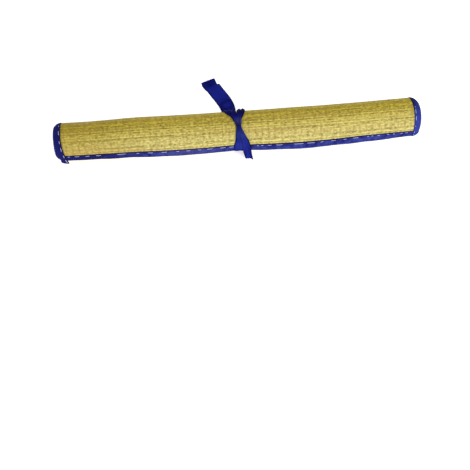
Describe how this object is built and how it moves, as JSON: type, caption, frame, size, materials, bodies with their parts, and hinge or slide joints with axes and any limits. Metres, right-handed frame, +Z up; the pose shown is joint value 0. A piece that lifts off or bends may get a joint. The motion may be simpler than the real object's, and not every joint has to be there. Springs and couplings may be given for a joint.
{
  "type": "rolled pandanus mat",
  "caption": "Rolled straw mat with cloth-bound edges, its loose edge at the front, tied at the middle with a ribbon whose ends are free.",
  "frame": {"origin": "middle of the flat underside of the ribbon, under the middle of the roll, on the surface it lies on", "axes": "+X along the roll, +Z up, -Y towards the side on which the loose edge hangs"},
  "size_m": [0.6, 0.177, 0.0688],
  "materials": {
    "straw": "woven straw, satin",
    "binding_cloth": "plain woven cotton, matt",
    "ribbon_cloth": "plain woven ribbon, matt"
  },
  "bodies": {
    "root": {"mat": "straw", "binding_left": "binding_cloth", "binding_right": "binding_cloth", "binding_loose_edge": "binding_cloth", "binding_inner_edge": "binding_cloth", "tie": "ribbon_cloth"}
  },
  "joints": []
}
